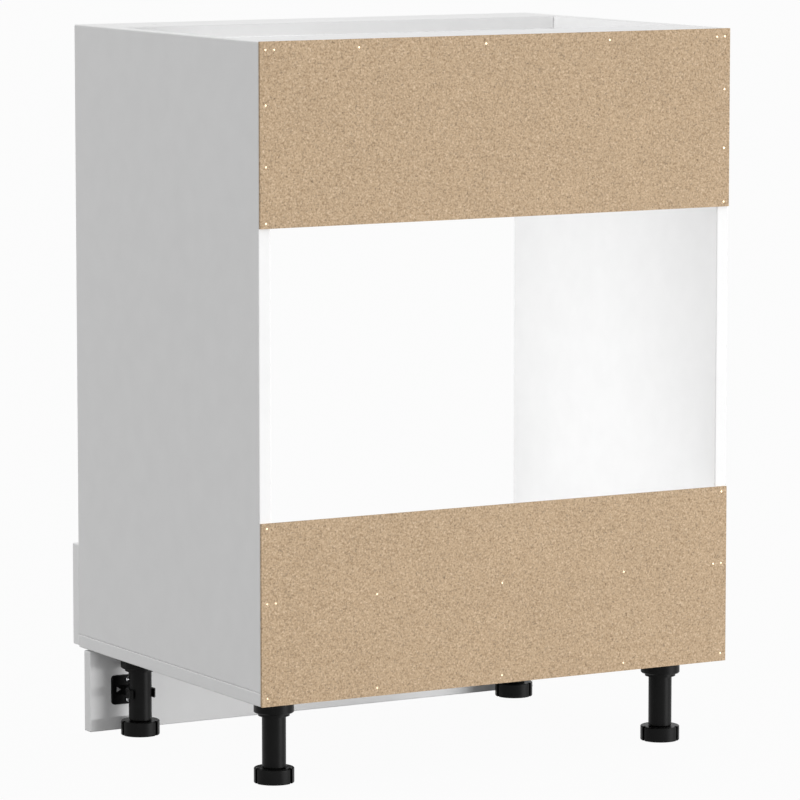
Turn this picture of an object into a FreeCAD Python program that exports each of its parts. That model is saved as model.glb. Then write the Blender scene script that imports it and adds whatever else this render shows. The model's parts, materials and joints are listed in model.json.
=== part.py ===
import FreeCAD, Part
import math
import os
import Sketcher
from FreeCAD import Placement, Rotation, Vector

# Oven base cabinet in millimetres. The front faces -Y, +X is on the right as seen from the front,
# +Z is up, and the origin is on the floor under the middle of the cabinet.

# Driving sizes: name, value, what it measures
SIZES = (
    ("width", 600, "over the side panels"),
    ("depth", 460, "front panel face to back panel face"),
    ("body_height", 718, "carcass without its legs"),
    ("leg_height", 97, "floor to carcass, feet screwed in"),
    ("board", 15, "carcass board thickness"),
    ("edge_round", 1.5, "rounding of board edges"),
    ("rail_depth", 90, "front to back of each top rail"),
    ("shelf_rise", 120, "carcass underside to top of oven shelf"),
    ("front_board", 15, "front panel thickness"),
    ("front_lift", 2, "carcass underside to bottom of front panel"),
    ("back_board", 3, "hardboard thickness"),
    ("back_height", 200, "height of each back panel"),
    ("back_reveal", 1, "back panel short of the carcass, each side"),
    ("plinth_board", 15, "plinth thickness"),
    ("plinth_setback", 11, "carcass front to plinth front"),
    ("plinth_lift", 1, "floor to plinth"),
    ("plinth_gap", 2, "plinth top to carcass"),
    ("plinth_reveal", 1, "plinth short of the carcass, each side"),
    ("leg_inset_side", 49, "side panel's outer face to leg axis"),
    ("leg_inset_end", 59, "carcass front or rear edge to leg axis"),
    ("socket_width", 44.4, "diameter of the leg socket's flange"),
    ("socket_drop", 19, "height of the leg socket's flange"),
    ("socket_bevel", 1, "bevel on the socket's rim"),
    ("collar_width", 34.8, "diameter of the collar below the flange"),
    ("collar_drop", 3.5, "height of the collar"),
    ("socket_web", 4, "thickness of the socket's closed top"),
    ("socket_screw_ring", 7.5, "leg axis to socket screw"),
    ("tube_width", 26.5, "outer diameter of the leg tube"),
    ("tube_bevel", 0.8, "bevel on the tube's rims"),
    ("foot_width", 44.6, "diameter of the foot"),
    ("foot_height", 16.7, "height of the foot"),
    ("foot_round", 1.2, "rounding of the foot's rims"),
    ("notch_width", 4.4, "width of a grip notch in the foot"),
    ("notch_depth", 3.5, "depth of a grip notch"),
    ("notch_count", 3, "grip notches round the foot"),
    ("spindle_width", 15, "outer diameter of the foot's spindle"),
    ("spindle_length", 64, "length of the spindle"),
    ("spindle_seat", 10, "depth of the spindle in the foot"),
    ("thread_pitch", 4, "ridge to ridge on the spindle"),
    ("thread_depth", 1, "depth of a thread groove"),
    ("seat_gap", 0.3, "tube to foot when screwed in"),
    ("clip_width", 42, "plinth clip's plate, side to side"),
    ("clip_height", 34, "plinth clip's plate, bottom to top"),
    ("clip_plate", 3, "plinth clip's plate thickness"),
    ("clip_corner", 4, "corner radius of the clip's plate"),
    ("clip_centre", 48, "floor to the middle of the clip"),
    ("clip_screw_rise", 11.4, "middle of the clip to each screw"),
    ("jaw_height", 10.5, "height of the clip's jaw"),
    ("jaw_wall", 3, "wall of the clip's jaw"),
    ("jaw_gap", 0.3, "jaw to leg tube"),
    ("jaw_reach", 6, "leg axis to the end of the jaw's arms"),
    ("neck_width", 16, "neck between the clip's plate and jaw"),
    ("window_side", 15.2, "leg axis to the outer edge of a window in the clip's plate"),
    ("window_width", 6.6, "width of the windows, which narrow to a point"),
    ("window_height", 8.4, "height of the windows at their outer edge"),
    ("cam_width", 15, "diameter of a cam lock"),
    ("cam_depth", 12, "depth of a cam lock in its board"),
    ("cam_setback", 24, "board end to cam axis"),
    ("cam_slot_width", 1.6, "width of a cam's driver slot"),
    ("cam_slot_depth", 2, "depth of a cam's driver slot"),
    ("bolt_width", 6, "shank diameter of a cam bolt"),
    ("bolt_neck", 4, "neck diameter behind the bolt's head"),
    ("bolt_head", 7, "head diameter of a cam bolt"),
    ("bolt_head_height", 2.5, "head height of a cam bolt"),
    ("bolt_neck_length", 3, "neck length of a cam bolt"),
    ("bolt_thread", 5, "thread diameter of a cam bolt"),
    ("bolt_thread_length", 11, "depth of a cam bolt in the side panel"),
    ("channel_width", 8, "hole from the board end to the cam"),
    ("dowel_width", 8, "dowel diameter"),
    ("dowel_length", 30, "dowel length"),
    ("dowel_seat", 11, "depth of a dowel in the side panel"),
    ("dowel_bevel", 0.6, "bevel on the dowel's ends"),
    ("rail_fixing_spread", 20, "rail's middle line to cam and to dowel"),
    ("shelf_cam_inset", 60, "shelf front or rear edge to cam"),
    ("shelf_dowel_inset", 110, "shelf front or rear edge to dowel"),
    ("confirmat_width", 7, "neck diameter of a connector screw"),
    ("confirmat_core", 5.5, "threaded diameter of a connector screw"),
    ("confirmat_length", 50, "length of a connector screw"),
    ("confirmat_head", 10, "head diameter of a connector screw"),
    ("confirmat_head_height", 3, "head height of a connector screw"),
    ("confirmat_inset", 50, "carcass front or rear edge to connector screw"),
    ("screw_width", 3.5, "wood screw diameter"),
    ("screw_length", 14, "wood screw length under its head"),
    ("screw_head", 7, "wood screw head diameter"),
    ("screw_head_height", 2.2, "wood screw head height"),
    ("screw_tip", 2.5, "length of a screw's point"),
    ("nail_width", 1.4, "nail diameter"),
    ("nail_length", 20, "nail length"),
    ("nail_tip", 1.5, "length of a nail's point"),
    ("nail_head", 2.3, "nail head diameter"),
    ("nail_head_height", 0.6, "nail head thickness"),
    ("nail_sink", 0.1, "nail head below the hardboard's face"),
    ("nail_side", 8, "carcass side to outer nail column"),
    ("nail_second", 18.5, "carcass side to second nail column"),
    ("nail_edge", 9, "carcass top or underside to nail row"),
    ("nail_pitch", 159, "spacing along a nail row"),
    ("nail_shift_upper", 19, "middle of the upper nail row, off centre"),
    ("nail_shift_lower", -3, "middle of the lower nail rows, off centre"),
    ("nail_drop_first", 68, "carcass top to first side nail"),
    ("nail_drop_second", 134, "carcass top to second side nail"),
    ("nail_end", 5.5, "free edge of a back panel to its last side nail"),
    ("bracket_leg", 28, "leg of the front panel's angle bracket"),
    ("bracket_metal", 2, "bracket thickness"),
    ("bracket_height", 50, "bracket height"),
    ("bracket_screw_rise", 14, "middle of the bracket to each screw"),
    ("bracket_screw_inset", 17, "bracket corner to screw"),
    ("worktop_hole", 5, "worktop screw hole in a rail"),
    ("worktop_hole_inset", 80, "side panel's outer face to worktop hole"),
    ("fit_gap", 0.05, "radial clearance of anything in its hole"),
    ("hole_spare", 0.5, "blind hole deeper than what it holds"),
)

# Places worked out from the driving sizes
PLACES = (
    ("side_outer", "Sizes.width / 2"),
    ("side_inner", "Sizes.width / 2 - Sizes.board"),
    ("side_middle", "Sizes.width / 2 - Sizes.board / 2"),
    ("front_face", "-Sizes.depth / 2"),
    ("carcass_front", "Sizes.front_board - Sizes.depth / 2"),
    ("carcass_rear", "Sizes.depth / 2 - Sizes.back_board"),
    ("back_face", "Sizes.depth / 2"),
    ("underside", "Sizes.leg_height"),
    ("bottom_top", "Sizes.leg_height + Sizes.board"),
    ("body_top", "Sizes.leg_height + Sizes.body_height"),
    ("rail_underside", "Sizes.leg_height + Sizes.body_height - Sizes.board"),
    ("rail_middle", "Sizes.leg_height + Sizes.body_height - Sizes.board / 2"),
    ("shelf_top", "Sizes.leg_height + Sizes.shelf_rise"),
    ("shelf_underside", "Sizes.leg_height + Sizes.shelf_rise - Sizes.board"),
    ("shelf_middle", "Sizes.leg_height + Sizes.shelf_rise - Sizes.board / 2"),
    ("front_rail_line", "Sizes.front_board - Sizes.depth / 2 + Sizes.rail_depth / 2"),
    ("rear_rail_line", "Sizes.depth / 2 - Sizes.back_board - Sizes.rail_depth / 2"),
    ("leg_side", "Sizes.width / 2 - Sizes.leg_inset_side"),
    ("leg_front", "Sizes.front_board - Sizes.depth / 2 + Sizes.leg_inset_end"),
    ("leg_rear", "Sizes.depth / 2 - Sizes.back_board - Sizes.leg_inset_end"),
    ("socket_seat", "Sizes.leg_height - Sizes.socket_web"),
    ("tube_bottom", "Sizes.foot_height + Sizes.seat_gap"),
    ("tube_top", "Sizes.leg_height - Sizes.socket_web - Sizes.screw_head_height - Sizes.hole_spare"),
    ("plinth_front", "Sizes.front_board - Sizes.depth / 2 + Sizes.plinth_setback"),
    ("plinth_rear", "Sizes.front_board - Sizes.depth / 2 + Sizes.plinth_setback + Sizes.plinth_board"),
    ("clip_seat", "Sizes.plinth_setback + Sizes.plinth_board - Sizes.leg_inset_end"),
    ("bracket_middle", "Sizes.leg_height + Sizes.shelf_rise / 2"),
    ("cam_line", "Sizes.width / 2 - Sizes.board - Sizes.cam_setback"),
    ("worktop_line", "Sizes.width / 2 - Sizes.worktop_hole_inset"),
    ("nail_face", "Sizes.depth / 2 - Sizes.nail_sink"),
)

SIDES = (("left", -1), ("right", 1))
ENDS = (("front", "Places.leg_front"), ("rear", "Places.leg_rear"))

# For a hole along each axis: the origin plane it is drawn on, the plane's two axes, its normal's sign
DRAWN_ON = {
    "X": ("YZ_Plane", "YZ", 1),
    "Y": ("XZ_Plane", "XZ", -1),
    "Z": ("XY_Plane", "XY", 1),
}
DIRECTION = {
    "+X": Vector(1, 0, 0),
    "-X": Vector(-1, 0, 0),
    "+Y": Vector(0, 1, 0),
    "-Y": Vector(0, -1, 0),
    "+Z": Vector(0, 0, 1),
    "-Z": Vector(0, 0, -1),
}

# Two corners nearer than this are at one place
SAME_PLACE = 1e-6
# Length that a constraint starts with, until its formula sets it
START_LENGTH = 1.0

doc = FreeCAD.newDocument("oven_cabinet")
nodes = []


def make_sheet(name, rows):
    sheet = doc.addObject("Spreadsheet::Sheet", name)
    for number, (alias, content, meaning) in enumerate(rows, start=1):
        sheet.set(f"A{number}", meaning)
        sheet.set(f"B{number}", content)
        sheet.setAlias(f"B{number}", alias)
    doc.recompute()
    return sheet


def times(sign, expression):
    return expression if sign > 0 else f"-({expression})"


def bind(thing, path, expression):
    thing.setExpression(path, expression)


def bind_place(thing, place):
    for axis, expression in zip("xyz", place):
        bind(thing, f"Placement.Base.{axis}", expression)


# Sketch helpers: every point is held by its distances from the sketch's origin

def sketch_on(body, name, role, offset):
    sketch = body.newObject("Sketcher::SketchObject", name)
    plane = next(each for each in body.Origin.OriginFeatures if each.Role == role)
    sketch.AttachmentSupport = [(plane, "")]
    sketch.MapMode = "FlatFace"
    bind(sketch, "AttachmentOffset.Base.z", offset)
    return sketch


def hold_point(sketch, line, point, across, along):
    for kind, axis, expression in (("DistanceX", -2, across), ("DistanceY", -1, along)):
        if expression == "0":
            sketch.addConstraint(Sketcher.Constraint("PointOnObject", line, point, axis))
        else:
            held = sketch.addConstraint(Sketcher.Constraint(kind, -1, 1, line, point, START_LENGTH))
            bind(sketch, f"Constraints[{held}]", expression)


def draw_outline(sketch, corners):
    count = len(corners)
    turn = 2 * math.pi / count
    ring = [Vector(math.cos(turn * i), math.sin(turn * i), 0) for i in range(count)]
    first = sketch.GeometryCount
    for i in range(count):
        sketch.addGeometry(Part.LineSegment(ring[i], ring[(i + 1) % count]))
    for i in range(count):
        following = first + (i + 1) % count
        sketch.addConstraint(Sketcher.Constraint("Coincident", first + i, 2, following, 1))
    for i, (across, along) in enumerate(corners):
        hold_point(sketch, first + i, 1, across, along)


def draw_rectangle(sketch, low, high):
    draw_outline(sketch, [low, (high[0], low[1]), high, (low[0], high[1])])


def draw_circle(sketch, across, along, diameter):
    circle = sketch.addGeometry(Part.Circle(Vector(1, 1, 0), Vector(0, 0, 1), START_LENGTH))
    hold_point(sketch, circle, 3, across, along)
    held = sketch.addConstraint(Sketcher.Constraint("Diameter", circle, START_LENGTH))
    bind(sketch, f"Constraints[{held}]", diameter)


class Piece:
    """One body of the cabinet, drawn from a corner or axis at a known place."""

    def __init__(self, label, place, is_node=True):
        self.body = doc.addObject("PartDesign::Body", label)
        self.body.Label = label
        self.place = place
        bind_place(self.body, place)
        if is_node:
            nodes.append(self.body)

    def sketch(self, name, role, offset="0"):
        return sketch_on(self.body, f"{self.body.Label}_{name}_sketch", role, offset)

    def feature(self, kind, name, sketch, length, backwards=False):
        feature = self.body.newObject(f"PartDesign::{kind}", f"{self.body.Label}_{name}")
        feature.Profile = sketch
        feature.Reversed = backwards
        bind(feature, "Length", length)
        doc.recompute()
        return feature

    def pad(self, name, sketch, length, backwards=False):
        return self.feature("Pad", name, sketch, length, backwards)

    def pocket(self, name, sketch, length, backwards=False):
        before = self.body.Shape.Volume
        feature = self.feature("Pocket", name, sketch, length, backwards)
        if self.body.Shape.Volume >= before:
            raise RuntimeError(f"{feature.Name} cuts nothing")
        return feature

    def revolve(self, corners):
        sketch = self.sketch("profile", "XZ_Plane")
        draw_outline(sketch, corners)
        feature = self.body.newObject("PartDesign::Revolution", f"{self.body.Label}_turned")
        feature.Profile = sketch
        feature.ReferenceAxis = (sketch, ["V_Axis"])
        feature.Angle = 360
        doc.recompute()
        return feature

    def round_edges(self, name, base, radius, wanted):
        edges = [f"Edge{i + 1}" for i, edge in enumerate(base.Shape.Edges) if wanted(edge)]
        feature = self.body.newObject("PartDesign::Fillet", f"{self.body.Label}_{name}")
        feature.Base = (base, edges)
        bind(feature, "Radius", radius)
        doc.recompute()
        return feature

    def local(self, axis, expression):
        return f"({expression}) - ({self.place[axis]})"

    def drill(self, name, way, start, spots, diameter, depth):
        """Cut round holes along one axis, at spots given in the cabinet's frame."""
        role, plane_axes, normal_sign = DRAWN_ON[way[1]]
        drill_axis = "XYZ".index(way[1])
        sketch = self.sketch(name, role, times(normal_sign, self.local(drill_axis, start)))
        for spot in spots:
            across, along = (self.local(axis, spot[axis]) for axis in map("XYZ".index, plane_axes))
            draw_circle(sketch, across, along, diameter)
        goes_up = way[0] == "+"
        return self.pocket(name, sketch, depth, backwards=goes_up == (normal_sign > 0))


# Boards: a padded rectangle with its edges eased

def make_board(label, low, high, rounding="Sizes.edge_round"):
    piece = Piece(label, low)
    sketch = piece.sketch("outline", "XY_Plane")
    size = [piece.local(axis, high[axis]) for axis in range(3)]
    draw_rectangle(sketch, ("0", "0"), (size[0], size[1]))
    blank = piece.pad("blank", sketch, size[2])
    if rounding:
        piece.round_edges("eased", blank, rounding, lambda edge: True)
    return piece


def make_carcass():
    front, rear = "Places.carcass_front", "Places.carcass_rear"
    inner, outer = "Places.side_inner", "Places.side_outer"
    boards = {
        "bottom_panel": make_board(
            "bottom_panel",
            (f"-{outer}", front, "Places.underside"),
            (outer, rear, "Places.bottom_top"),
        ),
        "side_panel_left": make_board(
            "side_panel_left",
            (f"-{outer}", front, "Places.bottom_top"),
            (f"-{inner}", rear, "Places.body_top"),
        ),
        "side_panel_right": make_board(
            "side_panel_right",
            (inner, front, "Places.bottom_top"),
            (outer, rear, "Places.body_top"),
        ),
        "oven_shelf": make_board(
            "oven_shelf",
            (f"-{inner}", front, "Places.shelf_underside"),
            (inner, rear, "Places.shelf_top"),
        ),
        "top_rail_front": make_board(
            "top_rail_front",
            (f"-{inner}", front, "Places.rail_underside"),
            (inner, f"{front} + Sizes.rail_depth", "Places.body_top"),
        ),
        "top_rail_rear": make_board(
            "top_rail_rear",
            (f"-{inner}", f"{rear} - Sizes.rail_depth", "Places.rail_underside"),
            (inner, rear, "Places.body_top"),
        ),
    }
    return boards


def make_back_panels():
    edge = "(Places.side_outer - Sizes.back_reveal)"
    spans = {
        "back_panel_upper": ("Places.body_top - Sizes.back_height", "Places.body_top"),
        "back_panel_lower": ("Places.underside", "Places.underside + Sizes.back_height"),
    }
    panels = {}
    for label, (low, high) in spans.items():
        panels[label] = make_board(
            label,
            (f"-{edge}", "Places.carcass_rear", low),
            (edge, "Places.back_face", high),
            rounding=None,
        )
    return panels


def make_front_panel():
    edge = "Places.side_outer"
    low = (f"-{edge}", "Places.front_face", "Places.underside + Sizes.front_lift")
    high = (edge, "Places.carcass_front", "Places.shelf_top")
    return make_board("front_panel", low, high)


def make_plinth_board():
    edge = "(Places.side_outer - Sizes.plinth_reveal)"
    low = (f"-{edge}", "Places.plinth_front", "Sizes.plinth_lift")
    high = (edge, "Places.plinth_rear", "Places.underside - Sizes.plinth_gap")
    return make_board("plinth_board", low, high)


# Fasteners: one turned pattern of each kind, set out as a group of separate solids

def set_out(label, pattern, spots):
    copies = []
    for number, (spot, rotation) in enumerate(spots, start=1):
        copy = doc.addObject("App::Link", f"{label}_copy_{number}")
        copy.LinkedObject = pattern
        copy.Placement = Placement(Vector(), rotation)
        bind_place(copy, spot)
        copies.append(copy)
    group = doc.addObject("Part::Compound", label)
    group.Label = label
    group.Links = copies
    nodes.append(group)
    return group


def pointing(way):
    return Rotation(Vector(0, 0, 1), DIRECTION[way])


def turned_pattern(label, corners):
    piece = Piece(label, ("0", "0", "0"), is_node=False)
    piece.revolve(corners)
    return piece


def make_connector_screw():
    neck, core = "Sizes.confirmat_width / 2", "Sizes.confirmat_core / 2"
    head, length = "Sizes.confirmat_head / 2", "Sizes.confirmat_length"
    return turned_pattern("connector_screw_pattern", [
        ("0", "0"),
        (head, "0"),
        (head, "Sizes.confirmat_head_height"),
        (neck, "Sizes.confirmat_head_height"),
        (neck, "Sizes.board"),
        (core, "Sizes.board"),
        (core, f"{length} - Sizes.screw_tip"),
        ("0", length),
    ])


def make_wood_screw():
    head, shank = "Sizes.screw_head / 2", "Sizes.screw_width / 2"
    return turned_pattern("wood_screw_pattern", [
        ("0", "-Sizes.screw_head_height"),
        (shank, "-Sizes.screw_head_height"),
        (head, "-Sizes.screw_head_height / 2"),
        (head, "0"),
        (shank, "0"),
        (shank, "Sizes.screw_length - Sizes.screw_tip"),
        ("0", "Sizes.screw_length"),
    ])


def make_nail():
    head, shank = "Sizes.nail_head / 2", "Sizes.nail_width / 2"
    return turned_pattern("nail_pattern", [
        ("0", "0"),
        (head, "0"),
        (head, "Sizes.nail_head_height"),
        (shank, "Sizes.nail_head_height"),
        (shank, "Sizes.nail_length - Sizes.nail_tip"),
        ("0", "Sizes.nail_length"),
    ])


def make_dowel():
    rim, tail = "Sizes.dowel_width / 2", "Sizes.dowel_length - Sizes.dowel_seat"
    bevel = "Sizes.dowel_bevel"
    return turned_pattern("dowel_pattern", [
        ("0", f"-({tail})"),
        (f"{rim} - {bevel}", f"-({tail})"),
        (rim, f"{bevel} - ({tail})"),
        (rim, f"Sizes.dowel_seat - {bevel}"),
        (f"{rim} - {bevel}", "Sizes.dowel_seat"),
        ("0", "Sizes.dowel_seat"),
    ])


def make_cam_bolt():
    head_end = "-Sizes.cam_setback"
    neck_start = "(Sizes.bolt_head_height - Sizes.cam_setback)"
    shank_start = f"{neck_start} + Sizes.bolt_neck_length"
    head, neck = "Sizes.bolt_head / 2", "Sizes.bolt_neck / 2"
    shank, thread = "Sizes.bolt_width / 2", "Sizes.bolt_thread / 2"
    return turned_pattern("cam_bolt_pattern", [
        ("0", head_end),
        (head, head_end),
        (head, neck_start),
        (neck, neck_start),
        (neck, shank_start),
        (shank, shank_start),
        (shank, "0"),
        (thread, "0"),
        (thread, "Sizes.bolt_thread_length"),
        ("0", "Sizes.bolt_thread_length"),
    ])


def make_cam_lock():
    rim = "Sizes.cam_width / 2"
    pattern = turned_pattern("cam_lock_pattern", [
        ("0", "0"),
        (rim, "0"),
        (rim, "Sizes.cam_depth"),
        ("0", "Sizes.cam_depth"),
    ])
    throat = [("0", "0", "Sizes.board / 2")]
    pattern.drill("throat", "+X", "-Sizes.bolt_head_height", throat,
                  "Sizes.bolt_head + 2 * Sizes.hole_spare", "Sizes.cam_width")
    slot = pattern.sketch("slot", "XY_Plane")
    half = "Sizes.cam_slot_width / 2"
    draw_rectangle(slot, (f"-{half}", f"-({rim})"), (half, rim))
    pattern.pocket("driver_slot", slot, "Sizes.cam_slot_depth", backwards=True)
    return pattern


# Rails and shelf: cam locks, cam bolts and dowels at each end

def fixing_lines():
    spread = "Sizes.rail_fixing_spread"
    front, rear = "Places.front_rail_line", "Places.rear_rail_line"
    shelf_front, shelf_rear = "Places.carcass_front", "Places.carcass_rear"
    shelf_cams = [f"{shelf_front} + Sizes.shelf_cam_inset", f"{shelf_rear} - Sizes.shelf_cam_inset"]
    shelf_dowels = [f"{shelf_front} + Sizes.shelf_dowel_inset", f"{shelf_rear} - Sizes.shelf_dowel_inset"]
    return {
        "top_rail_front": ("Places.rail_middle", "Places.rail_underside",
                           [f"{front} - {spread}"], [f"{front} + {spread}"]),
        "top_rail_rear": ("Places.rail_middle", "Places.rail_underside",
                          [f"{rear} + {spread}"], [f"{rear} - {spread}"]),
        "oven_shelf": ("Places.shelf_middle", "Places.shelf_underside", shelf_cams, shelf_dowels),
    }


def fit_cross_boards(boards):
    """Drill the rails, shelf and side panels, and set out the fittings that join them."""
    cams, bolts, dowels = [], [], []
    for side, sign in SIDES:
        outward, inward = ("+X", "-X") if sign > 0 else ("-X", "+X")
        end = times(sign, "Places.side_inner")
        cam_line = times(sign, "Places.cam_line")
        panel_bolts, panel_dowels = [], []
        for label, (middle, underside, cam_lines, dowel_lines) in fixing_lines().items():
            cam_spots = [(cam_line, line, underside) for line in cam_lines]
            bolt_spots = [(end, line, middle) for line in cam_lines]
            dowel_spots = [(end, line, middle) for line in dowel_lines]
            board = boards[label]
            board.drill(f"cams_{side}", "+Z", underside, cam_spots,
                        "Sizes.cam_width + 2 * Sizes.fit_gap", "Sizes.cam_depth")
            board.drill(f"channels_{side}", inward, end, bolt_spots,
                        "Sizes.channel_width", "Sizes.cam_setback")
            board.drill(f"dowels_{side}", inward, end, dowel_spots,
                        "Sizes.dowel_width + 2 * Sizes.fit_gap",
                        "Sizes.dowel_length - Sizes.dowel_seat + Sizes.hole_spare")
            cams += [(spot, Rotation(Vector(0, 0, 1), 0 if sign > 0 else 180)) for spot in cam_spots]
            bolts += [(spot, pointing(outward)) for spot in bolt_spots]
            dowels += [(spot, pointing(outward)) for spot in dowel_spots]
            panel_bolts += bolt_spots
            panel_dowels += dowel_spots
        panel = boards[f"side_panel_{side}"]
        panel.drill("bolts", outward, end, panel_bolts,
                    "Sizes.bolt_thread + 2 * Sizes.fit_gap", "Sizes.bolt_thread_length + Sizes.hole_spare")
        panel.drill("dowels", outward, end, panel_dowels,
                    "Sizes.dowel_width + 2 * Sizes.fit_gap", "Sizes.dowel_seat + Sizes.hole_spare")
    set_out("cam_locks", make_cam_lock().body, cams)
    set_out("cam_bolts", make_cam_bolt().body, bolts)
    set_out("dowels", make_dowel().body, dowels)


def fit_connector_screws(boards):
    lines = [
        "Places.carcass_front + Sizes.confirmat_inset",
        "(Places.carcass_front + Places.carcass_rear) / 2",
        "Places.carcass_rear - Sizes.confirmat_inset",
    ]
    spots = []
    for side, sign in SIDES:
        column = times(sign, "Places.side_middle")
        side_spots = [(column, line, "Places.underside") for line in lines]
        boards[f"side_panel_{side}"].drill(
            "connectors", "+Z", "Places.bottom_top", side_spots,
            "Sizes.confirmat_core + 2 * Sizes.fit_gap",
            "Sizes.confirmat_length - Sizes.board + Sizes.hole_spare",
        )
        spots += side_spots
    bottom = boards["bottom_panel"]
    bottom.drill("connector_necks", "+Z", "Places.underside", spots,
                 "Sizes.confirmat_width + 2 * Sizes.fit_gap", "Sizes.board")
    bottom.drill("connector_heads", "+Z", "Places.underside", spots,
                 "Sizes.confirmat_head + 2 * Sizes.fit_gap", "Sizes.confirmat_head_height")
    pattern = make_connector_screw()
    set_out("connector_screws", pattern.body, [(spot, pointing("+Z")) for spot in spots])


def drill_worktop_holes(boards):
    rows = {"top_rail_front": "Places.front_rail_line", "top_rail_rear": "Places.rear_rail_line"}
    for label, line in rows.items():
        spots = [(times(sign, "Places.worktop_line"), line, "0") for _, sign in SIDES]
        boards[label].drill("worktop_holes", "+Z", "Places.rail_underside", spots,
                            "Sizes.worktop_hole", "Sizes.board")


# Back panels: rows and columns of nails into the boards behind them

def nail_spots():
    """Nail places by back panel and by the board that each nail is driven into."""
    columns = {side: times(sign, "(Places.side_outer - Sizes.nail_side)") for side, sign in SIDES}
    seconds = [times(sign, "(Places.side_outer - Sizes.nail_second)") for _, sign in SIDES]
    upper_row = [f"Sizes.nail_shift_upper + {step} * Sizes.nail_pitch" for step in (-1, 0, 1)]
    lower_row = [f"Sizes.nail_shift_lower + {step} * Sizes.nail_pitch" for step in (-1, 0, 1)]
    top_row = "Places.body_top - Sizes.nail_edge"
    bottom_row = "Places.underside + Sizes.nail_edge"
    upper_column = [
        top_row,
        "Places.body_top - Sizes.nail_drop_first",
        "Places.body_top - Sizes.nail_drop_second",
        "Places.body_top - Sizes.back_height + Sizes.nail_end",
    ]
    lower_column = ["Places.shelf_middle", "Places.underside + Sizes.back_height - Sizes.nail_end"]
    upper = {"top_rail_rear": [(across, top_row) for across in seconds + upper_row]}
    lower = {
        "oven_shelf": [(across, "Places.shelf_middle") for across in seconds + lower_row],
        "bottom_panel": [(across, bottom_row) for across in [*columns.values(), *lower_row]],
    }
    for side, column in columns.items():
        upper[f"side_panel_{side}"] = [(column, height) for height in upper_column]
        lower[f"side_panel_{side}"] = [(column, height) for height in lower_column]
    return {"upper": upper, "lower": lower}


def fit_nails(boards, panels):
    pattern = make_nail().body
    shank = "Sizes.nail_width + 2 * Sizes.fit_gap"
    into_board = "Sizes.nail_length + Sizes.nail_sink - Sizes.back_board + Sizes.hole_spare"
    for level, by_board in nail_spots().items():
        panel_spots = []
        for label, pairs in by_board.items():
            spots = [(across, "Places.nail_face", height) for across, height in pairs]
            boards[label].drill(f"nails_{level}", "-Y", "Places.carcass_rear", spots, shank, into_board)
            panel_spots += spots
        panel = panels[f"back_panel_{level}"]
        panel.drill("nail_shanks", "-Y", "Places.back_face", panel_spots, shank, "Sizes.back_board")
        panel.drill("nail_heads", "-Y", "Places.back_face", panel_spots,
                    "Sizes.nail_head + 2 * Sizes.fit_gap", "Sizes.nail_head_height + Sizes.nail_sink")
        set_out(f"back_nails_{level}", pattern, [(spot, pointing("-Y")) for spot in panel_spots])


# Front panel: an angle bracket and four screws at each end, inside the closed compartment

def make_bracket(side, sign):
    leg, metal = times(-sign, "Sizes.bracket_leg"), times(-sign, "Sizes.bracket_metal")
    place = (times(sign, "Places.side_inner"), "Places.carcass_front",
             "Places.bracket_middle - Sizes.bracket_height / 2")
    bracket = Piece(f"front_bracket_{side}", place)
    sketch = bracket.sketch("angle", "XY_Plane")
    draw_outline(sketch, [
        ("0", "0"),
        (leg, "0"),
        (leg, "Sizes.bracket_metal"),
        (metal, "Sizes.bracket_metal"),
        (metal, "Sizes.bracket_leg"),
        ("0", "Sizes.bracket_leg"),
    ])
    bracket.pad("angle", sketch, "Sizes.bracket_height")
    return bracket


def fit_front_panel(boards, panel, screw):
    hole = "Sizes.screw_width + 2 * Sizes.fit_gap"
    into_board = "Sizes.screw_length - Sizes.bracket_metal + Sizes.hole_spare"
    heights = [f"Places.bracket_middle {way} Sizes.bracket_screw_rise" for way in "+-"]
    screws = []
    for side, sign in SIDES:
        outward = "+X" if sign > 0 else "-X"
        bracket = make_bracket(side, sign)
        side_seat = times(sign, "(Places.side_inner - Sizes.bracket_metal)")
        front_seat = "Places.carcass_front + Sizes.bracket_metal"
        side_line = "Places.carcass_front + Sizes.bracket_screw_inset"
        front_line = times(sign, "(Places.side_inner - Sizes.bracket_screw_inset)")
        side_spots = [(side_seat, side_line, height) for height in heights]
        front_spots = [(front_line, front_seat, height) for height in heights]
        bracket.drill("side_holes", outward, side_seat, side_spots, hole, "Sizes.bracket_metal")
        bracket.drill("front_holes", "-Y", front_seat, front_spots, hole, "Sizes.bracket_metal")
        boards[f"side_panel_{side}"].drill(
            "bracket_screws", outward, times(sign, "Places.side_inner"), side_spots, hole, into_board)
        panel.drill(f"bracket_screws_{side}", "-Y", "Places.carcass_front", front_spots, hole, into_board)
        screws += [(spot, pointing(outward)) for spot in side_spots]
        screws += [(spot, pointing("-Y")) for spot in front_spots]
    set_out("front_bracket_screws", screw.body, screws)


# Legs: a socket screwed under the carcass, a tube, and a foot on a threaded spindle

def make_socket(label, axis):
    rim, collar = "Sizes.socket_width / 2", "Sizes.collar_width / 2"
    bore = "Sizes.tube_width / 2 + Sizes.fit_gap"
    step = "-Sizes.socket_drop"
    mouth = "-(Sizes.socket_drop + Sizes.collar_drop)"
    socket = Piece(label, (*axis, "Places.underside"))
    socket.revolve([
        ("0", "0"),
        (rim, "0"),
        (rim, f"{step} + Sizes.socket_bevel"),
        (f"{rim} - Sizes.socket_bevel", step),
        (collar, step),
        (collar, mouth),
        (bore, mouth),
        (bore, "-Sizes.socket_web"),
        ("0", "-Sizes.socket_web"),
    ])
    return socket


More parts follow.
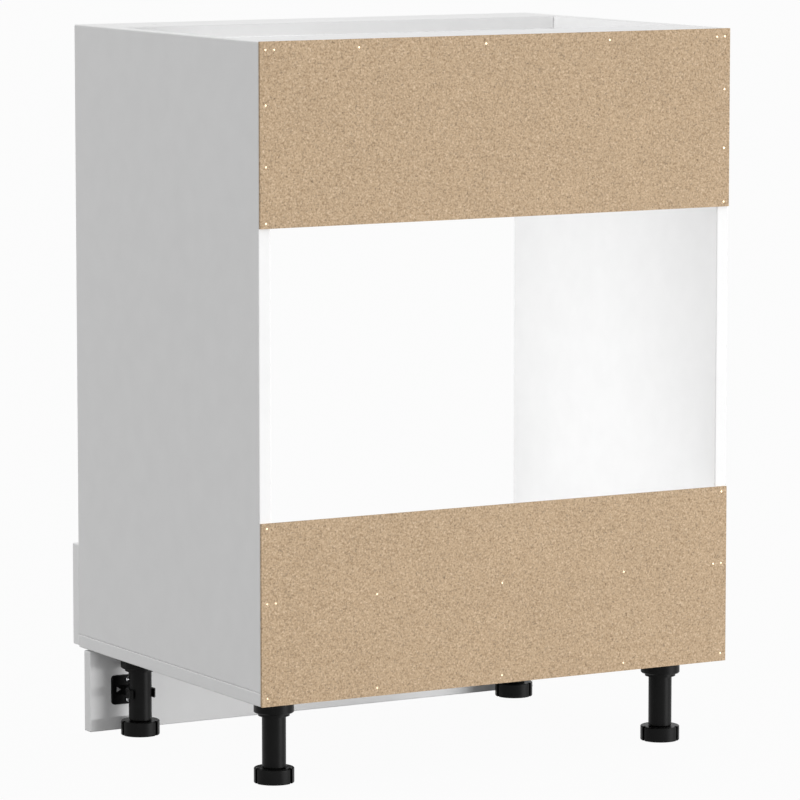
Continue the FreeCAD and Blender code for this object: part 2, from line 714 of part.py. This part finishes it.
def make_tube(label, axis):
    rim = "Sizes.tube_width / 2"
    bore = "Sizes.spindle_width / 2 + Sizes.fit_gap"
    length = "(Places.tube_top - Places.tube_bottom)"
    bevel = "Sizes.tube_bevel"
    tube = Piece(label, (*axis, "Places.tube_bottom"))
    tube.revolve([
        (bore, "0"),
        (f"{rim} - {bevel}", "0"),
        (rim, bevel),
        (rim, f"{length} - {bevel}"),
        (f"{rim} - {bevel}", length),
        (bore, length),
    ])
    return tube


def make_spindle(label, axis, size):
    rim, root = "Sizes.spindle_width / 2", "(Sizes.spindle_width / 2 - Sizes.thread_depth)"
    pitch = "Sizes.thread_pitch"
    first = "Sizes.spindle_seat"
    spindle = Piece(label, (*axis, "Sizes.foot_height - Sizes.spindle_seat"))
    spindle.revolve([
        ("0", "0"),
        (rim, "0"),
        (rim, "Sizes.spindle_length - Sizes.thread_depth"),
        (root, "Sizes.spindle_length"),
        ("0", "Sizes.spindle_length"),
    ])
    outline = spindle.sketch("thread", "XZ_Plane")
    clear = f"{rim} + Sizes.thread_depth"
    draw_outline(outline, [
        (root, f"{first} + {pitch} * 3 / 8"),
        (clear, f"{first}"),
        (clear, f"{first} + {pitch}"),
        (root, f"{first} + {pitch} * 5 / 8"),
    ])
    groove = spindle.body.newObject("PartDesign::Groove", f"{label}_groove")
    groove.Profile = outline
    groove.ReferenceAxis = (outline, ["V_Axis"])
    groove.Angle = 360
    doc.recompute()
    turns = int((size("spindle_length") - size("spindle_seat")) / size("thread_pitch")) - 1
    pattern = spindle.body.newObject("PartDesign::LinearPattern", f"{label}_threads")
    pattern.Originals = [groove]
    upright = next(each for each in spindle.body.Origin.OriginFeatures if each.Role == "Z_Axis")
    pattern.Direction = (upright, [""])
    pattern.Occurrences = turns
    bind(pattern, "Length", f"{pitch} * {turns - 1}")
    spindle.body.Tip = pattern
    doc.recompute()
    return spindle


def make_foot(label, axis):
    foot = Piece(label, (*axis, "0"))
    disc = foot.sketch("disc", "XY_Plane")
    draw_circle(disc, "0", "0", "Sizes.foot_width")
    blank = foot.pad("disc", disc, "Sizes.foot_height")
    foot.round_edges("eased", blank, "Sizes.foot_round", lambda edge: edge.Closed)
    seat = foot.sketch("seat", "XY_Plane", "Sizes.foot_height")
    draw_circle(seat, "0", "0", "Sizes.spindle_width + 2 * Sizes.fit_gap")
    foot.pocket("seat", seat, "Sizes.spindle_seat")
    notch = foot.sketch("notch", "XY_Plane")
    rim, half_notch = "Sizes.foot_width / 2", "Sizes.notch_width / 2"
    low = (f"{rim} - Sizes.notch_depth", f"-{half_notch}")
    high = (f"{rim} + Sizes.notch_depth", half_notch)
    draw_rectangle(notch, low, high)
    cut = foot.pocket("notch", notch, "Sizes.foot_height", backwards=True)
    ring = foot.body.newObject("PartDesign::PolarPattern", f"{label}_notches")
    ring.Originals = [cut]
    upright = next(each for each in foot.body.Origin.OriginFeatures if each.Role == "Z_Axis")
    ring.Axis = (upright, [""])
    ring.Angle = 360
    bind(ring, "Occurrences", "Sizes.notch_count")
    foot.body.Tip = ring
    doc.recompute()
    return foot


def make_legs(boards, screw, size):
    hole = "Sizes.screw_width + 2 * Sizes.fit_gap"
    into_board = "Sizes.screw_length - Sizes.socket_web + Sizes.hole_spare"
    all_spots = []
    for end, line in ENDS:
        for side, sign in SIDES:
            axis = (times(sign, "Places.leg_side"), line)
            name = f"{end}_{side}"
            spots = [
                (f"{axis[0]} + Sizes.socket_screw_ring * cos({angle} deg)",
                 f"{axis[1]} + Sizes.socket_screw_ring * sin({angle} deg)",
                 "Places.socket_seat")
                for angle in (90, 210, 330)
            ]
            socket = make_socket(f"leg_socket_{name}", axis)
            socket.drill("screw_holes", "+Z", "Places.socket_seat", spots, hole, "Sizes.socket_web")
            make_tube(f"leg_tube_{name}", axis)
            make_spindle(f"foot_spindle_{name}", axis, size)
            make_foot(f"foot_{name}", axis)
            all_spots += spots
    boards["bottom_panel"].drill("socket_screws", "+Z", "Places.underside", all_spots, hole, into_board)
    set_out("leg_socket_screws", screw.body, [(spot, pointing("+Z")) for spot in all_spots])


# Plinth: a board that hangs on two clips, each with a jaw that grips a front leg

def make_clip(label, sign):
    axis = (times(sign, "Places.leg_side"), "Places.leg_front")
    clip = Piece(label, (*axis, "Sizes.clip_centre"))
    half_width, half_height = "Sizes.clip_width / 2", "Sizes.clip_height / 2"
    bore = "(Sizes.tube_width / 2 + Sizes.jaw_gap)"
    rim = f"({bore} + Sizes.jaw_wall)"
    jaw_low = "-Sizes.jaw_height / 2"
    half_neck = "Sizes.neck_width / 2"

    plate = clip.sketch("plate", "XZ_Plane", "-Places.clip_seat")
    draw_rectangle(plate, (f"-{half_width}", f"-{half_height}"), (half_width, half_height))
    blank = clip.pad("plate", plate, "Sizes.clip_plate", backwards=True)

    def runs_through(edge_shape):
        return abs(edge_shape.Vertexes[0].Y - edge_shape.Vertexes[1].Y) > SAME_PLACE

    clip.round_edges("corners", blank, "Sizes.clip_corner", runs_through)

    ring = clip.sketch("ring", "XY_Plane", jaw_low)
    draw_circle(ring, "0", "0", f"2 * {rim}")
    neck = clip.sketch("neck", "XY_Plane", jaw_low)
    draw_rectangle(neck, (f"-{half_neck}", "Places.clip_seat"), (half_neck, "0"))
    arms = clip.sketch("arms", "XY_Plane", jaw_low)
    draw_rectangle(arms, (f"-{rim}", "0"), (rim, "Sizes.jaw_reach"))
    for name, sketch in (("neck", neck), ("ring", ring), ("arms", arms)):
        clip.pad(name, sketch, "Sizes.jaw_height")
    for hand, way in SIDES:
        window = clip.sketch(f"window_{hand}", "XZ_Plane", "-Places.clip_seat")
        window_edge = times(way, "Sizes.window_side")
        draw_outline(window, [
            (window_edge, "-Sizes.window_height / 2"),
            (window_edge, "Sizes.window_height / 2"),
            (times(way, "(Sizes.window_side - Sizes.window_width)"), "0"),
        ])
        clip.pocket(f"window_{hand}", window, "Sizes.clip_plate")

    hollow = clip.sketch("hollow", "XY_Plane", jaw_low)
    draw_circle(hollow, "0", "0", f"2 * {bore}")
    clip.pocket("hollow", hollow, "Sizes.jaw_height", backwards=True)
    mouth = clip.sketch("mouth", "XY_Plane", jaw_low)
    draw_rectangle(mouth, (f"-{bore}", "0"), (bore, f"{rim} + Sizes.jaw_reach"))
    clip.pocket("mouth", mouth, "Sizes.jaw_height", backwards=True)
    return clip


def make_plinth(screw):
    hole = "Sizes.screw_width + 2 * Sizes.fit_gap"
    into_board = "Sizes.screw_length - Sizes.clip_plate + Sizes.hole_spare"
    seat = "Places.plinth_rear + Sizes.clip_plate"
    heights = [f"Sizes.clip_centre {way} Sizes.clip_screw_rise" for way in "+-"]
    board = make_plinth_board()
    all_spots = []
    for side, sign in SIDES:
        clip = make_clip(f"plinth_clip_{side}", sign)
        spots = [(times(sign, "Places.leg_side"), seat, height) for height in heights]
        clip.drill("screw_holes", "-Y", seat, spots, hole, "Sizes.clip_plate")
        all_spots += spots
    board.drill("clip_screws", "-Y", "Places.plinth_rear", all_spots, hole, into_board)
    set_out("plinth_clip_screws", screw.body, [(spot, pointing("-Y")) for spot in all_spots])


def check_and_write():
    doc.recompute()
    for thing in doc.Objects:
        if "Invalid" in thing.State or "Error" in thing.State:
            raise RuntimeError(f"{thing.Label} failed: {thing.State}")
    for node in nodes:
        shape = node.Shape
        if shape.isNull() or not shape.isValid() or not shape.Solids:
            raise RuntimeError(f"{node.Label} has no valid solid")
    os.makedirs("parts", exist_ok=True)
    for node in nodes:
        node.Shape.exportStep(os.path.join("parts", f"{node.Label}.step"))
    print(f"{len(nodes)} sub-parts, {sum(len(node.Shape.Solids) for node in nodes)} solids")


def main():
    sizes = make_sheet("Sizes", [(alias, str(value), meaning) for alias, value, meaning in SIZES])
    make_sheet("Places", [(alias, f"={formula}", alias.replace("_", " ")) for alias, formula in PLACES])

    def size(alias):
        return float(sizes.get(alias))

    boards = make_carcass()
    panels = make_back_panels()
    front = make_front_panel()
    screw = make_wood_screw()
    fit_cross_boards(boards)
    fit_connector_screws(boards)
    drill_worktop_holes(boards)
    fit_nails(boards, panels)
    fit_front_panel(boards, front, screw)
    make_legs(boards, screw, size)
    make_plinth(screw)
    check_and_write()


main()
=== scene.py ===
import json
import math

import bmesh
import bpy
from mathutils import Matrix, Vector


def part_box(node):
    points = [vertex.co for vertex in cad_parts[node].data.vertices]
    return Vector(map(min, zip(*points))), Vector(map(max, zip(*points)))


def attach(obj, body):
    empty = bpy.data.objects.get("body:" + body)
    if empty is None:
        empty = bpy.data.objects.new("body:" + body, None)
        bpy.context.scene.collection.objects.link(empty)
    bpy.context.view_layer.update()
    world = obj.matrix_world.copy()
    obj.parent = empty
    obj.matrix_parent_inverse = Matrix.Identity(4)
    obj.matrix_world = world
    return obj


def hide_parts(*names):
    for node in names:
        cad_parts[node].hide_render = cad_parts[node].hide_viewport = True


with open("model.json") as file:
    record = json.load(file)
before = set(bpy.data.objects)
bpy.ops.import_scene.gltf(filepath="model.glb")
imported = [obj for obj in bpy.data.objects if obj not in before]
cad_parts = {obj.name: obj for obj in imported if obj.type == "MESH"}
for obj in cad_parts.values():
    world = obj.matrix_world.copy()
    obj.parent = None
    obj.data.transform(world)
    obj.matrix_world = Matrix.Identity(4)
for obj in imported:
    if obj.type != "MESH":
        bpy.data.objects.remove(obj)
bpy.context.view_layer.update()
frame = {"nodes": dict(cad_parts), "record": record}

# Looks for the oven cabinet, in metres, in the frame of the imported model
nodes = frame["nodes"]
scene = bpy.context.scene
LEGS = ("front_left", "front_right", "rear_left", "rear_right")

# Camera: seen from behind, from the right-hand side and a little above, with its angles in degrees
CAMERA_PLACE = (2.8369, 4.9630, 1.0889)
CAMERA_AZIMUTH = 150.21
CAMERA_PITCH = 6.98
CAMERA_LENS = 227.2
SENSOR = 36.0
CLIP_NEAR = 0.1
CLIP_FAR = 100.0

# Soft lamps: name, place, where it points, width, height, spread in degrees, watts
LAMPS = (
    ("rear_light", (-6.14, 7.77, 0.25), (0.0, 0.0, 0.1), 6.0, 0.5, 100, 203.0),
    ("niche_light", (0.270, -0.06, 0.49), (-0.28, -0.06, 0.49), 0.34, 0.46, 180, 1.30),
)

# Light from all round, and the white that shows behind the part
WORLD_LIGHT = 0.91
WHITE = (1, 1, 1, 1)

# Floor: its size, its tone, and the share of white that it shows where it is seen directly
FLOOR_SIDE = 80.0
FLOOR_TONE = 0.30
FLOOR_WHITE_SHARE = 0.96
FLOOR_ROUGHNESS = 0.9

# Patterns: the range that most of a cloud lies in, and a turn off the part's axes, so that no face
# lies along their grid
CLOUD_LOW = 0.3
CLOUD_HIGH = 0.7
PATTERN_TURN = (0.6, 0.4, 0.2)

# Faced boards: their tone
BOARDS = {
    "white_board": 0.85,
    "front_finish": 0.90,
    "plinth_finish": 0.85,
}

# Plated metals: dark and light tone, then the smoothest and the roughest sheen
METALS = {
    "nail_steel": ((0.52, 0.41, 0.27), (0.64, 0.51, 0.35), 0.40, 0.55),
    "zinc_steel": ((0.60, 0.61, 0.63), (0.80, 0.80, 0.81), 0.22, 0.38),
    "zinc_alloy": ((0.46, 0.46, 0.47), (0.60, 0.60, 0.61), 0.40, 0.55),
}

# Hardboard: where its fibres change tone, and the Y of a normal below which a face is the inner one
FIBRE_TONES = (
    (0.30, (0.335, 0.227, 0.128)),
    (0.42, (0.460, 0.328, 0.203)),
    (0.60, (0.545, 0.399, 0.257)),
    (0.72, (0.670, 0.513, 0.352)),
)
INNER_FACE_LIMIT = -0.5

# Meshes: vertices round each ring, the angle in degrees from which an edge is sharp, and how close
# two vertices of a node lie to count as one
ROUND_STEPS = 48
SHARP_ANGLE = 35
WELD_DISTANCE = 1e-6

# Screws of both kinds: the length of their point
POINT_LENGTH = 0.0025

# Clip screws: radii of the tip and the shank, radius and height of each ring of the pan head from its
# seat up, and the cross recess with the shares of its size that are left at its floor
CLIP_TIP = 0.0002
CLIP_SHANK = 0.00175
PAN_HEAD = ((0.0034, 0.0), (0.0035, 0.0003), (0.0034, 0.0010), (0.0030, 0.0017), (0.0024, 0.0021))
PAN_HEIGHT = 0.0022
CROSS_REACH = 0.0020
CROSS_HALF_WIDTH = 0.0005
CROSS_DEPTH = 0.0013
CROSS_FLOOR_REACH = 0.6
CROSS_FLOOR_WIDTH = 0.7

# Connector screws: radii of the tip, shank, neck and head, the neck's and the head's depth below the
# face, and the hexagon socket
CONNECTOR_TIP = 0.0003
CONNECTOR_SHANK = 0.00275
NECK = 0.0035
NECK_DEPTH = 0.015
HEAD = 0.0050
HEAD_DEPTH = 0.003
HEAD_BEVEL = 0.0004
HEX_FLAT = 0.0020
HEX_DEPTH = 0.0026

# Thread of the levelling feet: its pitch and depth, and rings along each turn
THREAD_PITCH = 0.004
THREAD_DEPTH = 0.001
THREAD_STEPS = 8


def make_camera():
    data = bpy.data.cameras.new("camera")
    data.sensor_width = SENSOR
    data.lens = CAMERA_LENS
    data.clip_start = CLIP_NEAR
    data.clip_end = CLIP_FAR
    camera = bpy.data.objects.new("camera", data)
    camera.location = CAMERA_PLACE
    camera.rotation_euler = (math.radians(90 - CAMERA_PITCH), 0, math.radians(CAMERA_AZIMUTH))
    scene.collection.objects.link(camera)
    scene.camera = camera


def make_lamps():
    for name, place, target, width, height, spread, watts in LAMPS:
        data = bpy.data.lights.new(name, "AREA")
        data.energy = watts
        data.shape = "RECTANGLE"
        data.size = width
        data.size_y = height
        data.spread = math.radians(spread)
        lamp = bpy.data.objects.new(name, data)
        lamp.location = place
        way = Vector(target) - Vector(place)
        lamp.rotation_euler = way.to_track_quat("-Z", "Y").to_euler()
        lamp.visible_camera = False
        scene.collection.objects.link(lamp)


def seen_directly(tree):
    """One where a ray comes from the camera or off a shiny or clear surface."""
    path = tree.nodes.new("ShaderNodeLightPath")
    either = tree.nodes.new("ShaderNodeMath")
    either.operation = "MAXIMUM"
    tree.links.new(path.outputs["Is Camera Ray"], either.inputs[0])
    tree.links.new(path.outputs["Is Glossy Ray"], either.inputs[1])
    any_of = tree.nodes.new("ShaderNodeMath")
    any_of.operation = "MAXIMUM"
    tree.links.new(either.outputs[0], any_of.inputs[0])
    tree.links.new(path.outputs["Is Transmission Ray"], any_of.inputs[1])
    return any_of.outputs[0]


def make_world():
    world = bpy.data.worlds.new("studio")
    scene.world = world
    world.use_nodes = True
    tree = world.node_tree
    light = tree.nodes["Background"]
    light.inputs["Color"].default_value = WHITE
    light.inputs["Strength"].default_value = WORLD_LIGHT
    white = tree.nodes.new("ShaderNodeBackground")
    white.inputs["Color"].default_value = WHITE
    white.inputs["Strength"].default_value = 1.0
    mix = tree.nodes.new("ShaderNodeMixShader")
    tree.links.new(seen_directly(tree), mix.inputs["Fac"])
    tree.links.new(light.outputs[0], mix.inputs[1])
    tree.links.new(white.outputs[0], mix.inputs[2])
    tree.links.new(mix.outputs[0], tree.nodes["World Output"].inputs["Surface"])


def make_floor():
    mesh = bpy.data.meshes.new("floor")
    half = FLOOR_SIDE / 2
    corners = [(-half, -half, 0), (half, -half, 0), (half, half, 0), (-half, half, 0)]
    mesh.from_pydata(corners, [], [(0, 1, 2, 3)])
    floor = bpy.data.objects.new("floor", mesh)
    scene.collection.objects.link(floor)
    material = bpy.data.materials.new("floor")
    material.use_nodes = True
    tree = material.node_tree
    paint = tree.nodes["Principled BSDF"]
    paint.inputs["Base Color"].default_value = (FLOOR_TONE, FLOOR_TONE, FLOOR_TONE, 1)
    paint.inputs["Roughness"].default_value = FLOOR_ROUGHNESS
    paint.inputs["Specular IOR Level"].default_value = 0.0
    white = tree.nodes.new("ShaderNodeEmission")
    white.inputs["Color"].default_value = WHITE
    white.inputs["Strength"].default_value = 1.0
    mix = tree.nodes.new("ShaderNodeMixShader")
    share = tree.nodes.new("ShaderNodeMath")
    share.operation = "MULTIPLY"
    share.inputs[1].default_value = FLOOR_WHITE_SHARE
    tree.links.new(seen_directly(tree), share.inputs[0])
    tree.links.new(share.outputs[0], mix.inputs["Fac"])
    tree.links.new(paint.outputs[0], mix.inputs[1])
    tree.links.new(white.outputs[0], mix.inputs[2])
    tree.links.new(mix.outputs[0], tree.nodes["Material Output"].inputs["Surface"])
    mesh.materials.append(material)


# Finishes

class Finish:
    """A material with one Principled shader, fed by patterns laid out in the part's own frame."""

    def __init__(self, name, **settings):
        self.material = bpy.data.materials.new(name)
        self.material.use_nodes = True
        self.tree = self.material.node_tree
        self.shader = self.tree.nodes["Principled BSDF"]
        self.coordinates = self.tree.nodes.new("ShaderNodeTexCoord")
        for socket, value in settings.items():
            self.shader.inputs[socket.replace("_", " ")].default_value = value

    def add(self, kind, sockets):
        node = self.tree.nodes.new(f"ShaderNode{kind}")
        for socket, value in sockets.items():
            if isinstance(value, bpy.types.NodeSocket):
                self.tree.links.new(value, node.inputs[socket])
            else:
                node.inputs[socket].default_value = value
        return node

    def feed(self, socket, source):
        self.tree.links.new(source, self.shader.inputs[socket])

    def cloud(self, size, detail=2.0, stretch=(1, 1, 1)):
        """Cloudy pattern with patches of this size in metres."""
        scale = [1 / (size * each) for each in stretch]
        spot = self.coordinates.outputs["Object"]
        place = self.add("Mapping", {"Vector": spot, "Scale": scale, "Rotation": PATTERN_TURN})
        noise = self.add("TexNoise", {"Vector": place.outputs["Vector"], "Scale": 1.0, "Detail": detail})
        return noise.outputs["Fac"]

    def number(self, pattern, low, high):
        """Number that follows a cloudy pattern, from low to high."""
        start = {"Value": pattern, "From Min": CLOUD_LOW, "From Max": CLOUD_HIGH}
        return self.add("MapRange", start | {"To Min": low, "To Max": high}).outputs["Result"]

    def colour(self, pattern, stops):
        """Colour that follows a pattern through these pairs of a position and a tone."""
        node = self.add("ValToRGB", {"Fac": pattern})
        ramp = node.color_ramp
        while len(ramp.elements) < len(stops):
            ramp.elements.new(0.5)
        for element, (position, tone) in zip(ramp.elements, stops):
            element.position = position
            element.color = (*tone, 1)
        return node.outputs["Color"]

    def two_tone(self, pattern, low, high):
        """Colour that follows a cloudy pattern, from one tone to another."""
        return self.colour(pattern, [(CLOUD_LOW, low), (CLOUD_HIGH, high)])

    def mixed(self, how, factor, first, second):
        node = self.tree.nodes.new("ShaderNodeMix")
        node.data_type = "RGBA"
        node.blend_type = how
        factor_in = node.inputs[0]
        first_in, second_in = (socket for socket in node.inputs if socket.type == "RGBA")
        for socket, value in ((factor_in, factor), (first_in, first), (second_in, second)):
            if isinstance(value, bpy.types.NodeSocket):
                self.tree.links.new(value, socket)
            else:
                socket.default_value = value
        return next(socket for socket in node.outputs if socket.type == "RGBA")

    def bump(self, pattern, strength, depth):
        node = self.add("Bump", {"Height": pattern, "Strength": strength, "Distance": depth})
        self.feed("Normal", node.outputs["Normal"])


def grey(tone):
    return (tone, tone, tone)


def white_board(name, tone):
    """Faced board: nearly even white, a satin sheen and a fine pebbled press."""
    finish = Finish(name, Specular_IOR_Level=0.15)
    patches = finish.cloud(size=0.03, detail=3.0)
    finish.feed("Base Color", finish.two_tone(patches, grey(tone * 0.985), grey(tone * 1.01)))
    finish.feed("Roughness", finish.number(finish.cloud(size=0.004), low=0.45, high=0.55))
    finish.bump(finish.cloud(size=0.0009), strength=0.08, depth=0.0002)
    return finish.material


def hardboard(name):
    """Pressed fibre: brown and speckled behind and at the edges, white lacquer on the inner face."""
    finish = Finish(name)
    fibres = finish.cloud(size=0.0021, detail=2.0)
    brown = finish.colour(fibres, FIBRE_TONES)
    patches = finish.two_tone(finish.cloud(size=0.05), grey(0.96), grey(1.0))
    brown = finish.mixed("MULTIPLY", 1.0, brown, patches)
    level = finish.cloud(size=0.0014, detail=1.0, stretch=(3, 1, 1))
    upright = finish.cloud(size=0.0014, detail=1.0, stretch=(1, 1, 3))
    for strands in (level, upright):
        dark = finish.colour(strands, [(0.58, grey(1.0)), (0.70, grey(0.70))])
        brown = finish.mixed("MULTIPLY", 0.8, brown, dark)
    spots = finish.cloud(size=0.003, detail=0.0)
    flecks = finish.colour(spots, [(0.76, grey(1.0)), (0.82, grey(0.6))])
    brown = finish.mixed("MULTIPLY", 0.9, brown, flecks)

    # The inner face looks to the front, along -Y
    normal = finish.add("SeparateXYZ", {"Vector": finish.coordinates.outputs["Normal"]})
    inner = finish.add("Math", {0: normal.outputs["Y"], 1: INNER_FACE_LIMIT})
    inner.operation = "LESS_THAN"
    is_inner = inner.outputs["Value"]
    lacquer = finish.two_tone(finish.cloud(size=0.03), grey(0.79), grey(0.82))
    finish.feed("Base Color", finish.mixed("MIX", is_inner, brown, lacquer))
    rough = finish.add("MapRange", {"Value": is_inner, "To Min": 0.85, "To Max": 0.5})
    finish.feed("Roughness", rough.outputs["Result"])
    finish.bump(fibres, strength=0.2, depth=0.0003)
    return finish.material


def black_plastic(name):
    """Moulded black plastic with a fine grain."""
    finish = Finish(name, Specular_IOR_Level=0.1)
    patches = finish.cloud(size=0.012)
    finish.feed("Base Color", finish.two_tone(patches, grey(0.004), grey(0.006)))
    finish.feed("Roughness", finish.number(finish.cloud(size=0.003), low=0.32, high=0.40))
    finish.bump(finish.cloud(size=0.0007), strength=0.12, depth=0.0001)
    return finish.material


def metal(name, dark, light, smooth, rough):
    """Plated metal: uneven tone and sheen over a few millimetres."""
    finish = Finish(name, Metallic=1.0)
    finish.feed("Base Color", finish.two_tone(finish.cloud(size=0.002), dark, light))
    finish.feed("Roughness", finish.number(finish.cloud(size=0.0012), smooth, rough))
    finish.bump(finish.cloud(size=0.0005), strength=0.1, depth=0.0001)
    return finish.material


def beech(name):
    """Dowel wood with its grain along the dowel."""
    finish = Finish(name)
    grain = finish.cloud(size=0.0009, detail=3.0, stretch=(14, 1, 1))
    finish.feed("Base Color", finish.two_tone(grain, (0.48, 0.31, 0.18), (0.66, 0.47, 0.30)))
    finish.feed("Roughness", finish.number(grain, low=0.62, high=0.75))
    finish.bump(grain, strength=0.2, depth=0.0002)
    return finish.material


def make_finishes():
    boards = {name: white_board(name, tone) for name, tone in BOARDS.items()}
    metals = {name: metal(name, *look) for name, look in METALS.items()}
    others = {
        "hardboard": hardboard("hardboard"),
        "black_plastic": black_plastic("black_plastic"),
        "beech": beech("beech"),
    }
    return boards | metals | others


def dress_nodes(finishes):
    for part in frame["record"]["subparts"]:
        node = part["node"]
        is_nails = node.startswith("back_nails")
        materials = nodes[node].data.materials
        materials.clear()
        materials.append(finishes["nail_steel" if is_nails else part["material_slot"]])


# Detailed pieces, each a skin through rings round an axis. An outline gives the radius at an angle

def circle(radius):
    return lambda angle: radius


def hexagon(flat):
    sixth = math.pi / 3
    return lambda angle: flat / math.cos(angle % sixth - sixth / 2)


def cross(reach, half_width):
    quarter = math.pi / 2

    def outline(angle):
        turn = angle % quarter
        off_arm = min(turn, quarter - turn)
        along = reach / math.cos(off_arm)
        if off_arm < math.atan2(half_width, reach):
            return along
        return half_width / math.sin(off_arm)

    return outline


def add_skin(mesh, rings, place):
    loops = []
    for outline, height in rings:
        loop = []
        for step in range(ROUND_STEPS):
            angle = 2 * math.pi * step / ROUND_STEPS
            radius = outline(angle)
            spot = Vector((radius * math.cos(angle), radius * math.sin(angle), height))
            loop.append(mesh.verts.new(place @ spot))
        loops.append(loop)
    for below, above in zip(loops, loops[1:]):
        for step in range(ROUND_STEPS):
            following = (step + 1) % ROUND_STEPS
            mesh.faces.new((below[step], below[following], above[following], above[step]))
    mesh.faces.new(reversed(loops[0]))
    mesh.faces.new(loops[-1])


def make_piece(name, skins, finish):
    mesh = bmesh.new()
    for rings, place in skins:
        add_skin(mesh, rings, place)
    data = bpy.data.meshes.new(name)
    mesh.to_mesh(data)
    mesh.free()
    data.shade_smooth()
    data.set_sharp_from_angle(angle=math.radians(SHARP_ANGLE))
    data.materials.append(finish)
    piece = bpy.data.objects.new(name, data)
    scene.collection.objects.link(piece)
    return piece


def solid_boxes(name):
    """Lowest and highest corner of each separate solid in a CAD node."""
    mesh = bmesh.new()
    mesh.from_mesh(nodes[name].data)
    bmesh.ops.remove_doubles(mesh, verts=mesh.verts, dist=WELD_DISTANCE)
    left = set(mesh.verts)
    boxes = []
    while left:
        start = left.pop()
        waiting = [start]
        found = [start]
        while waiting:
            for edge in waiting.pop().link_edges:
                for vert in edge.verts:
                    if vert in left:
                        left.remove(vert)
                        waiting.append(vert)
                        found.append(vert)
        spots = [vert.co for vert in found]
        low = Vector(min(spot[axis] for spot in spots) for axis in range(3))
        high = Vector(max(spot[axis] for spot in spots) for axis in range(3))
        boxes.append((low, high))
    mesh.free()
    return boxes


def pan_head_screw(length):
    """Rings from the point to the cross recess, with the head's seat at height 0."""
    floor = cross(CROSS_REACH * CROSS_FLOOR_REACH, CROSS_HALF_WIDTH * CROSS_FLOOR_WIDTH)
    return [
        (circle(CLIP_TIP), -length),
        (circle(CLIP_SHANK), -length + POINT_LENGTH),
        (circle(CLIP_SHANK), 0.0),
        *((circle(radius), height) for radius, height in PAN_HEAD),
        (cross(CROSS_REACH, CROSS_HALF_WIDTH), PAN_HEIGHT),
        (floor, PAN_HEIGHT - CROSS_DEPTH),
    ]


def connector_screw(length):
    """Rings from the point to the hexagon socket, with the head's face at height 0."""
    return [
        (circle(CONNECTOR_TIP), -length),
        (circle(CONNECTOR_SHANK), -length + POINT_LENGTH),
        (circle(CONNECTOR_SHANK), -NECK_DEPTH),
        (circle(NECK), -NECK_DEPTH),
        (circle(NECK), -HEAD_DEPTH),
        (circle(HEAD), -HEAD_DEPTH),
        (circle(HEAD), -HEAD_BEVEL),
        (circle(HEAD - HEAD_BEVEL), 0.0),
        (hexagon(HEX_FLAT), 0.0),
        (hexagon(HEX_FLAT), -HEX_DEPTH),
    ]


def make_clip_screws(finish):
    skins = []
    for low, high in solid_boxes("plinth_clip_screws"):
        seat = high.y - PAN_HEIGHT
        spot = Vector(((low.x + high.x) / 2, seat, (low.z + high.z) / 2))
        turn = Vector((0, 1, 0)).to_track_quat("Z", "X").to_matrix().to_4x4()
        skins.append((pan_head_screw(seat - low.y), Matrix.Translation(spot) @ turn))
    screws = make_piece("plinth_screws", skins, finish)
    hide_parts("plinth_clip_screws")
    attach(screws, "plinth")


def make_connector_screws(finish):
    skins = []
    for low, high in solid_boxes("connector_screws"):
        spot = Vector(((low.x + high.x) / 2, (low.y + high.y) / 2, low.z))
        turn = Matrix.Rotation(math.pi, 4, "X")
        skins.append((connector_screw(high.z - low.z), Matrix.Translation(spot) @ turn))
    screws = make_piece("carcass_screws", skins, finish)
    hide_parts("connector_screws")
    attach(screws, "cabinet")


def thread(radius, height):
    """Outline of a right-hand thread at one height, with rounded crests."""
    def outline(angle):
        phase = height / THREAD_PITCH - angle / (2 * math.pi)
        rise = 0.5 + 0.5 * math.cos(2 * math.pi * phase)
        return radius - THREAD_DEPTH * (1 - rise)

    return outline


def make_spindle(leg, finish):
    node = f"foot_spindle_{leg}"
    low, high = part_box(node)
    radius = (high.x - low.x) / 2
    core = radius - THREAD_DEPTH
    length = high.z - low.z
    count = round(length / THREAD_PITCH * THREAD_STEPS)
    rings = [(circle(core - THREAD_DEPTH), 0.0)]
    for step in range(1, count):
        height = length * step / count
        rings.append((thread(radius, height), height))
    rings.append((circle(core - THREAD_DEPTH), length))
    place = Matrix.Translation(Vector(((low.x + high.x) / 2, (low.y + high.y) / 2, low.z)))
    spindle = make_piece(f"threaded_spindle_{leg}", [(rings, place)], finish)
    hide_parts(node)
    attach(spindle, f"foot_{leg}")


make_camera()
make_lamps()
make_world()
make_floor()
finishes = make_finishes()
dress_nodes(finishes)
make_clip_screws(finishes["zinc_steel"])
make_connector_screws(finishes["zinc_steel"])
for leg in LEGS:
    make_spindle(leg, finishes["black_plastic"])
scene.view_settings.view_transform = "Standard"
